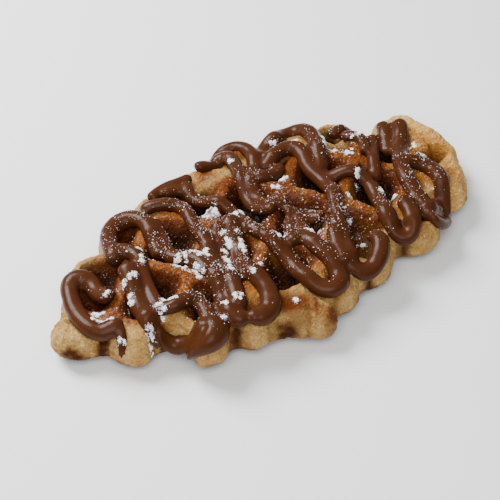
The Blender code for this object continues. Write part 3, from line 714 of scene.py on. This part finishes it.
# Each rope as it was poured: its radius, then its turning points x and y. Those from
# left_drip on thicken or bridge the others, and the solid doesn't have them.
ROPES = {
    "left_loop": (3.0, [(-59, -1), (-60.5, 6), (-59.5, 12), (-62, 16), (-66, 15), (-69, 9),
                        (-71, 0), (-70, -6.5), (-66.5, -10), (-62, -9.5)]),
    "near_left_stroke": (3.2, [(-48.5, 9), (-49.5, 4), (-51, -0.5), (-53, -6.5), (-54, -12.5),
                               (-54.5, -17), (-53, -20)]),
    "near_left_loop": (2.4, [(-50, 15.5), (-46.5, 15.5), (-43.5, 12.5), (-43.5, 7), (-45.5, 2.5),
                             (-47, -4), (-48.5, -10), (-47.5, -15), (-43.5, -16), (-39, -15),
                             (-36.5, -17.5), (-37.5, -22), (-39, -27)]),
    "near_left_mass": (4.2, [(-38, -25), (-39, -30), (-42, -32.5), (-45.5, -30), (-47.5, -26.5)]),
    "near_left_join": (3.2, [(-53.5, -18.5), (-52, -20), (-49, -22), (-46, -25)]),
    "far_left_loop": (2.9, [(-50, 11), (-48, 18), (-45, 24.5), (-42, 28), (-37, 29),
                            (-33, 26.5), (-32, 21.5), (-34, 13), (-36, 6)]),
    "far_left_side": (2.7, [(-30, 22), (-31, 14), (-33, 7), (-32.5, 3), (-29.5, 0), (-28, -5),
                            (-28.5, -12)]),
    "far_double_arch": (2.3, [(-30, 28.5), (-27, 29), (-24, 27), (-21, 26), (-18.5, 24.5),
                              (-17.5, 20), (-19, 14.5), (-20.5, 7), (-22, -1), (-23.5, -6)]),
    "far_strand": (2.0, [(-24, 31.5), (-20, 34), (-15, 34), (-10, 33.5), (-6, 33)]),
    "cross_strand": (2.2, [(-9.5, 32), (-11.5, 27), (-10.5, 22), (-7.5, 17), (-5, 12), (-4.5, 6),
                           (-5, -1), (-4.5, -7)]),
    "long_first": (3.0, [(-21, 2), (-24, -5), (-27, -12), (-29, -18), (-31, -24.5),
                         (-31.5, -30), (-28, -33)]),
    "long_second": (2.9, [(-13, 7), (-17, 0), (-20.5, -8), (-23.5, -16), (-26.5, -23.5),
                          (-29, -29)]),
    "long_third": (3.1, [(-8, 8.5), (-11, 1), (-13.5, -6), (-16.5, -13), (-16.5, -20),
                         (-16.5, -26), (-18.5, -31.5), (-22.5, -34), (-27.5, -33.5)]),
    "far_hook": (2.3, [(-2.5, 36.5), (0.5, 37), (4, 36), (7.5, 39), (12, 40.5), (16.5, 39.5),
                       (18.5, 35.5), (17.5, 30), (14, 24), (10.5, 19)]),
    "inner_hook": (2.5, [(5, 36), (8.5, 37.5), (10.5, 34), (8.5, 26.5), (5.5, 19), (3.5, 11),
                         (4, 5), (6.5, 1)]),
    "back_strand": (2.3, [(13.5, 26), (9, 21), (6.5, 13), (7, 6), (11.5, 0.5)]),
    "far_bead": (2.5, [(10.5, 20.5), (12.5, 17.5), (16.5, 17.5), (22.5, 19.5)]),
    "far_arch": (2.8, [(19.5, 28), (23.5, 32.5), (29, 34), (34.5, 36), (39, 35.5), (41.5, 32),
                       (40.5, 26), (38, 20), (34, 13), (31.5, 10.5)]),
    "second_arch": (2.7, [(16.5, 23), (21, 25), (27, 27), (31.5, 25.5), (32, 20.5), (30, 14),
                          (30.5, 8), (29.5, 1), (26, -5.5), (23, -11), (20.5, -16)]),
    "middle_loop": (2.9, [(-4, -5), (-2.5, -11), (-2, -19), (-2.5, -27), (-1, -33.5),
                          (2.5, -37), (6.5, -35.5), (8.5, -29), (8, -22), (7.5, -15),
                          (10, -8.5), (12, -3), (9, 0)]),
    "middle_link": (2.6, [(13, -2), (16, -6), (18.5, -10)]),
    "near_right_loop": (3.0, [(19, -12), (20, -16), (18, -21), (14.5, -28), (14, -33),
                              (17.5, -35), (22, -34.5), (26, -31.5), (28, -28), (28, -23)]),
    "far_right_arch": (2.1, [(47.5, 25), (50.5, 26.5), (54, 26), (57.5, 24), (59.5, 20.5),
                             (58.5, 15.5), (54.5, 9.5), (50, 4), (46, -4)]),
    "right_cross": (2.4, [(30, 7.5), (34, 6), (39, 3.5), (42.5, 0), (42.5, -5)]),
    "right_loop": (2.8, [(43, -3), (41.5, -9), (38.5, -16), (36, -22.5), (36, -27.5), (39, -30),
                         (42, -28.5), (44.5, -24), (45.5, -20), (44.5, -17)]),
    "far_end_left": (2.5, [(66, 20), (64, 15), (61, 10), (58.5, 5)]),
    "far_end_right": (2.9, [(71, 17), (69, 12.5), (63.5, 6), (58.5, -0.5), (54, -8), (52, -15),
                            (51, -21), (51.5, -26.5)]),
    "end_return": (2.8, [(51.5, -25.5), (55, -27), (59, -24), (62.5, -18.5), (65, -12.5),
                         (64.5, -8), (61, -4.5), (57, -2.5)]),
    "left_drip": (1.6, [(-62.5, -8), (-63.5, -12), (-65, -16), (-66, -18)]),
    "near_left_fill": (3.4, [(-46.5, -24), (-43.5, -26), (-40.5, -28)]),
    "near_left_pool": (3.4, [(-51, -20.5), (-48, -22.5), (-45.5, -26.5), (-42, -30)]),
    "far_inner_strand": (2.0, [(-19.5, 30.5), (-15.5, 31.5), (-12, 30), (-11.5, 27)]),
    "middle_shadow": (2.5, [(10, -2.5), (6, -8), (2, -16)]),
    "near_right_fill": (2.7, [(17.5, -16), (14, -24), (11, -32)]),
    "far_right_strand": (1.9, [(48.5, 21), (51.5, 20.5), (53.5, 17.5), (52.5, 12.5),
                               (49.5, 7.5)]),
    "end_fill": (2.8, [(54, -19), (56.5, -22)]),
    "end_mass": (3.8, [(51.5, -22), (50.5, -26.5), (51.5, -29)]),
    "end_mass_side": (3.4, [(57, -20), (54.5, -23.5), (52.5, -26.5)]),
    "end_drape": (3.3, [(48.5, -27.5), (50.5, -29), (53, -28.5), (56, -27), (59.5, -23.5)]),
    "long_bridge": (2.8, [(-22, -34), (-25, -34), (-28.5, -32)]),
}


def smooth_line(points, step):
    """Points a step apart along a smooth cubic curve through the turning points."""
    knots = np.array(points, dtype=float)
    knots = np.vstack([2.0 * knots[0] - knots[1], knots, 2.0 * knots[-1] - knots[-2]])
    t = np.linspace(0.0, 1.0, CURVE_STEPS, endpoint=False)[:, None]
    pieces = []
    for before, here, there, after in zip(knots, knots[1:], knots[2:], knots[3:]):
        pieces.append(0.5 * (2.0 * here + (there - before) * t
                             + (2.0 * before - 5.0 * here + 4.0 * there - after) * t**2
                             + (3.0 * here - before - 3.0 * there + after) * t**3))
    line = np.vstack(pieces + [knots[-2:-1]])
    along = np.concatenate([[0.0], np.cumsum(np.linalg.norm(np.diff(line, axis=0), axis=1))])
    count = max(4, int(round(along[-1] / step)) + 1)
    places = np.linspace(0.0, along[-1], count)
    return np.stack([np.interp(places, along, line[:, 0]),
                     np.interp(places, along, line[:, 1])], -1)


def moving_mean(column, width):
    """The mean over an odd number of neighbours, with the ends kept in place."""
    padded = np.pad(column, width // 2, mode="reflect", reflect_type="odd")
    return np.convolve(padded, np.ones(width) / width, mode="valid")


def laid_rope(points):
    """The rope's centre line: it lies on the ridges and sinks a little in the pockets."""
    fine = smooth_line(points, FINE_STEP)
    height = top_height(fine[:, 0], fine[:, 1], TOP_DEPTH * ROPE_SINK) + ROPE_BED
    count = max(LEAST_RINGS, int(round(len(fine) / ROPE_STEP)) + 1)
    picks = np.linspace(0, len(fine) - 1, count)
    columns = []
    for column in (fine[:, 0], fine[:, 1], height):
        columns.append(np.interp(picks, np.arange(len(fine)), moving_mean(column, ROPE_SMOOTH)))
    return np.stack(columns, -1)


def rope_tube(points, radius, seed):
    """Points and faces of one rope: elliptic rings round the laid line, radius in slow
    waves and larger in bends, rings drawn in on the inside of a bend, round ends."""
    line = laid_rope(points)
    steps = np.gradient(line, axis=0)
    length = np.linalg.norm(steps, axis=1)
    forward = steps / length[:, None]
    heading = np.unwrap(np.arctan2(steps[:, 1], steps[:, 0]))
    turning = moving_mean(np.gradient(heading) / length, TURN_SMOOTH)
    along = np.cumsum(length)
    bend = np.minimum(np.abs(moving_mean(turning, BEND_SMOOTH)), BEND_MOST)
    width = radius * (1.0 + ROPE_UNEVEN * noise(line, ROPE_UNEVEN_SIZE, seed, 2)
                      + BEND_SWELL * bend)
    tip = 1.0 - np.clip(np.minimum(along - along[0], along[-1] - along) / radius, 0.0, 1.0)
    width = width * np.sqrt(np.clip(1.0 - tip**2, TIP_LEAST, 1.0)) + ROPE_JOIN
    side = np.cross(forward, (0.0, 0.0, 1.0))
    side /= np.linalg.norm(side, axis=1)[:, None]
    turn = 2.0 * np.pi * np.arange(ROPE_SIDES) / ROPE_SIDES
    across = width[:, None] * np.cos(turn)
    left_room = BEND_ROOM / np.maximum(turning, 1e-6)
    right_room = BEND_ROOM / np.maximum(-turning, 1e-6)
    across = np.clip(across, -left_room[:, None], right_room[:, None])
    above = ROPE_FLATTEN * width[:, None] * np.sin(turn)
    rings = line[:, None, :] + across[:, :, None] * side[:, None, :]
    rings[:, :, 2] += above
    columns = np.arange(ROPE_SIDES)
    beside = (columns + 1) % ROPE_SIDES
    last = (len(line) - 1) * ROPE_SIDES
    ring = np.arange(0, last, ROPE_SIDES)[:, None]
    quads = np.stack([ring + columns, ring + ROPE_SIDES + columns,
                      ring + ROPE_SIDES + beside, ring + beside], -1)
    faces = quads.reshape(-1, 4).tolist()
    faces.append(columns.tolist())
    faces.append((last + columns[::-1]).tolist())
    return rings.reshape(-1, 3), faces


def settled(made, name):
    """A new mesh object of what the modifiers give; the old object is removed."""
    seen = made.evaluated_get(bpy.context.evaluated_depsgraph_get())
    mesh = bpy.data.meshes.new_from_object(seen)
    mesh.name = name
    bpy.data.objects.remove(made)
    mesh.shade_smooth()
    return add_object(name, mesh)


rope_points = []
rope_faces = []
rope_count = 0
for number, (rope_radius, rope_turns) in enumerate(ROPES.values()):
    tube_points, tube_faces = rope_tube(rope_turns, rope_radius, 40 + number)
    rope_points.append(tube_points)
    for face in tube_faces:
        rope_faces.append([corner + rope_count for corner in face])
    rope_count += len(tube_points)
drizzle = make_object("chocolate", np.concatenate(rope_points), rope_faces)
merge = drizzle.modifiers.new("Run together", "REMESH")
merge.mode = "VOXEL"
merge.voxel_size = ROPE_VOXEL
soften = drizzle.modifiers.new("Soften", "SMOOTH")
soften.factor = 0.5
soften.iterations = 4
drizzle = settled(drizzle, "chocolate")
poured, poured_normals = drawn_points(drizzle.data)
ripple = RIPPLE_HEIGHT * noise(poured, RIPPLE_SIZE, 71, 2) - ROPE_THIN
set_points(drizzle.data, poured + ripple[:, None] * poured_normals)

dust = spot_share(poured[:, 0], poured[:, 1], CLUMPS) * ease(poured_normals[:, 2], 0.1, 0.6)
dust_fray = 0.75 + 0.35 * noise(poured, DUST_FRAY_SIZE, 93, 2)
set_field(drizzle.data, "dust", dust * dust_fray)

CHOCOLATE = (0.048, 0.0135, 0.0037, 1.0)
CHOCOLATE_LIGHT = (0.062, 0.0190, 0.0066, 1.0)
chocolate, shader, place = new_material("Chocolate", 0.27)
tree = chocolate.node_tree
shade = add_noise(tree, place, 120.0, 3.0, 0.35, 0.7)
colour = add_mix(tree, shade, CHOCOLATE, CHOCOLATE_LIGHT)
colour = add_dusting(tree, colour, place, 0.88, 1.08)
tree.links.new(colour, shader.inputs["Base Color"])
shader.inputs["Specular IOR Level"].default_value = 0.10
add_bump(tree, shader, add_noise(tree, place, 500.0, 3.0, 0.3, 0.7), 0.10, 0.0003)
drizzle.data.materials.append(chocolate)
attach(drizzle, "root")
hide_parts("croffle")


# Powdered sugar. Fine white sugar, sifted over the whole from above: clumps of small grains
# where it fell thickly, and loose grains all over, each lying on whatever is under it.
GRAIN_FACES = np.array([(0, 2, 4), (2, 1, 4), (1, 3, 4), (3, 0, 4),
                        (2, 0, 5), (1, 2, 5), (3, 1, 5), (0, 3, 5)])
GRAIN_CORNERS = np.array([(1, 0, 0), (-1, 0, 0), (0, 1, 0), (0, -1, 0), (0, 0, 1), (0, 0, -1)],
                         dtype=float)
LOOSE_GRAINS = 4800
LOOSE_HALF_LENGTH = 78.0
LOOSE_HALF_WIDTH = 38.0
# Places drawn for each loose grain, since those where little sugar fell are passed over.
DRAWS_PER_GRAIN = 4
GRAINS_PER_AREA = 30
# Grains fall from this height, and their middles stop this share of their size above what
# they land on.
FALL_FROM = 40.0
GRAIN_STANDS_OUT = 0.2
# Loose grains thin out towards the edge and in patches. Their sizes follow a gamma curve of
# this shape and scale, from the least size up.
SIFTED_HALF_LENGTH = 70.0
SIFTED_HALF_WIDTH = 30.0
SIFTED_MIDDLE_Y = 3.0
SIFTED_PATCH_SIZE = 11.0
LOOSE_SIZE_SHAPE = 1.4
LOOSE_SIZE_SCALE = 0.045
LOOSE_SIZE_LEAST = 0.055
# A clump is a few small heaps, two and more by the product of its half lengths, which are
# taken a little longer when its grains are counted. The coarsest lie in a heap's middle.
LEAST_HEAPS = 2
HEAPS_PER_AREA = 1.1
HEAP_PLACES = (-0.8, 0.8)
HEAP_SPREADS = (0.25, 0.75)
HEAP_REACH = 0.6
CLUMP_FRAY = 0.4
CLUMP_SIZE_LEAST = 0.12
CLUMP_SIZE_MORE = 0.33
CLUMP_SIZE_VARIES = (0.6, 1.3)
# A grain's corners: how far out each lies, and how far it is moved. Grains don't stay on what
# is steeper than this upward part of its normal.
CORNER_REACH = (0.6, 1.2)
CORNER_SHIFT = 0.18
LEAST_UPWARD = 0.05


def surface_under(objects):
    """A function that drops points x, y and gives the height and normal of what they meet."""
    down = Vector((0.0, 0.0, -1.0))
    trees = []
    for seen in objects:
        mesh = seen.data
        points = drawn_points(mesh)[0]
        faces = [tuple(face.vertices) for face in mesh.polygons]
        trees.append(BVHTree.FromPolygons(points.tolist(), faces))

    def drop(px, py):
        best = None
        for search in trees:
            place, normal, _, _ = search.ray_cast(Vector((px, py, FALL_FROM)), down)
            if place is not None and (best is None or place.z > best[0]):
                best = (place.z, normal)
        return best

    return drop


def grains(places, sizes, rng):
    """Points and faces of small lumps: octahedra with each corner moved at random."""
    count = len(places)
    shapes = GRAIN_CORNERS[None] * rng.uniform(*CORNER_REACH, (count, 6, 1))
    shapes += rng.normal(0.0, CORNER_SHIFT, shapes.shape)
    spin = rng.normal(size=(count, 4))
    spin /= np.linalg.norm(spin, axis=1)[:, None]
    w, a, b, c = spin.T
    turned = np.empty((count, 3, 3))
    turned[:, 0] = np.stack([1 - 2 * (b * b + c * c), 2 * (a * b - w * c), 2 * (a * c + w * b)], -1)
    turned[:, 1] = np.stack([2 * (a * b + w * c), 1 - 2 * (a * a + c * c), 2 * (b * c - w * a)], -1)
    turned[:, 2] = np.stack([2 * (a * c - w * b), 2 * (b * c + w * a), 1 - 2 * (a * a + b * b)], -1)
    points = np.einsum("nij,nkj->nki", turned, shapes) * sizes[:, None, None] + places[:, None, :]
    faces = GRAIN_FACES[None] + 6 * np.arange(count)[:, None, None]
    return points.reshape(-1, 3), faces.reshape(-1, 3).tolist()


drop = surface_under([pastry, drizzle])
rng = np.random.default_rng(7)


def landed(spots, sizes):
    """Puts grains down where they fall; those that miss, or meet a wall, are left out."""
    kept_places = []
    kept_sizes = []
    for (spot_x, spot_y), size in zip(spots, sizes):
        found = drop(spot_x, spot_y)
        if found is not None and found[1].z > LEAST_UPWARD:
            kept_places.append((spot_x, spot_y, found[0] + GRAIN_STANDS_OUT * size))
            kept_sizes.append(size)
    return np.array(kept_places), np.array(kept_sizes)


draws = DRAWS_PER_GRAIN * LOOSE_GRAINS
loose_spots = np.stack([rng.uniform(-LOOSE_HALF_LENGTH, LOOSE_HALF_LENGTH, draws),
                        rng.uniform(-LOOSE_HALF_WIDTH, LOOSE_HALF_WIDTH, draws)], -1)
patches = noise(np.column_stack([loose_spots, np.zeros(len(loose_spots))]), SIFTED_PATCH_SIZE, 95, 2)
centred = np.exp(-(loose_spots[:, 0] / SIFTED_HALF_LENGTH)**4
                 - ((loose_spots[:, 1] - SIFTED_MIDDLE_Y) / SIFTED_HALF_WIDTH)**4)
wanted = rng.random(len(loose_spots)) < centred * ease(patches, -0.35, 0.55)
loose_spots = loose_spots[wanted][:LOOSE_GRAINS]
loose_spots = loose_spots[inside_distance(*loose_spots.T) > 1.0]
loose_sizes = rng.gamma(LOOSE_SIZE_SHAPE, LOOSE_SIZE_SCALE, len(loose_spots)) + LOOSE_SIZE_LEAST
clump_spots = []
clump_sizes = []
for clump_x, clump_y, half_length, half_width, turn in CLUMPS:
    heaps = LEAST_HEAPS + int(HEAPS_PER_AREA * half_length * half_width)
    count = int(GRAINS_PER_AREA * (half_length + CLUMP_FRAY) * (half_width + CLUMP_FRAY))
    middles = rng.uniform(*HEAP_PLACES, (heaps, 2)) * (half_length, half_width)
    spread = rng.uniform(*HEAP_SPREADS, (heaps, 1))
    chosen = rng.integers(0, heaps, count)
    from_middle = rng.normal(0.0, 1.0, (count, 2)) * spread[chosen]
    offsets = middles[chosen] + from_middle
    along_x, along_y = np.cos(np.radians(turn)), np.sin(np.radians(turn))
    clump_spots.append(np.stack([clump_x + offsets[:, 0] * along_x - offsets[:, 1] * along_y,
                                 clump_y + offsets[:, 0] * along_y + offsets[:, 1] * along_x], -1))
    far = np.linalg.norm(from_middle, axis=1) / HEAP_REACH
    coarse = CLUMP_SIZE_LEAST + CLUMP_SIZE_MORE * np.exp(-far * far)
    clump_sizes.append(coarse * rng.uniform(*CLUMP_SIZE_VARIES, count))
loose_places, loose_sizes = landed(np.concatenate([loose_spots] + clump_spots),
                                   np.concatenate([loose_sizes] + clump_sizes))
sugar_points, sugar_faces = grains(loose_places, loose_sizes, rng)
sugar = make_object("loose_sugar", sugar_points, sugar_faces)
sugar.data.shade_flat()
powder, shader, _ = new_material("Powdered sugar", 0.9)
shader.inputs["Base Color"].default_value = SUGAR_WHITE
sugar.data.materials.append(powder)
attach(sugar, "root")
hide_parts("croffle")


# Floor, lights and camera. A plain pale floor, a wide soft light from behind and to the
# left, a weak fill, and the camera at the photograph's height and angle.
FLOOR_HALF = 3.0
FLOOR_COLOUR = (0.94, 0.94, 0.94, 1.0)
ROOM_COLOUR = (0.95, 0.97, 1.0, 1.0)
ROOM_STRENGTH = 0.34

floor_mesh = bpy.data.meshes.new("floor")
floor_corners = np.array([(-1, -1, 0), (1, -1, 0), (1, 1, 0), (-1, 1, 0)]) * FLOOR_HALF
floor_mesh.from_pydata(floor_corners.tolist(), [], [(0, 1, 2, 3)])
floor = add_object("floor", floor_mesh)
pale, shader, _ = new_material("Pale floor", 0.7)
shader.inputs["Base Color"].default_value = FLOOR_COLOUR
floor_mesh.materials.append(pale)

world = bpy.data.worlds.new("Pale room")
bpy.context.scene.world = world
world.use_nodes = True
room = world.node_tree.nodes["Background"]
room.inputs["Color"].default_value = ROOM_COLOUR
room.inputs["Strength"].default_value = ROOM_STRENGTH


def add_light(name, place, size, power, aim=(0.0, 0.0, 0.01)):
    """A soft square light that looks at the aim point."""
    data = bpy.data.lights.new(name, "AREA")
    data.size = size
    data.energy = power
    light = add_object(name, data)
    light.location = place
    light.rotation_euler = (Vector(aim) - Vector(place)).to_track_quat("-Z", "Y").to_euler()


add_light("key", (-0.14, 0.42, 0.50), 0.34, 9.6)
add_light("fill", (-0.30, -0.35, 0.60), 0.5, 4.8)

AIM = Vector((-0.00665, 0.00033, 0.008))
CAMERA_DISTANCE = 0.60
CAMERA_TURN = np.radians(-35.0)
CAMERA_RAISE = np.radians(44.0)
CAMERA_LENS = 128.7
SENSOR_WIDTH = 36.0
back = Vector((np.sin(CAMERA_TURN) * np.cos(CAMERA_RAISE),
               -np.cos(CAMERA_TURN) * np.cos(CAMERA_RAISE), np.sin(CAMERA_RAISE)))
camera_data = bpy.data.cameras.new("camera")
camera_data.sensor_width = SENSOR_WIDTH
camera_data.lens = CAMERA_LENS
camera = add_object("camera", camera_data)
camera.location = AIM + CAMERA_DISTANCE * back
camera.rotation_euler = (-back).to_track_quat("-Z", "Y").to_euler()
bpy.context.scene.camera = camera

bpy.context.view_layer.update()
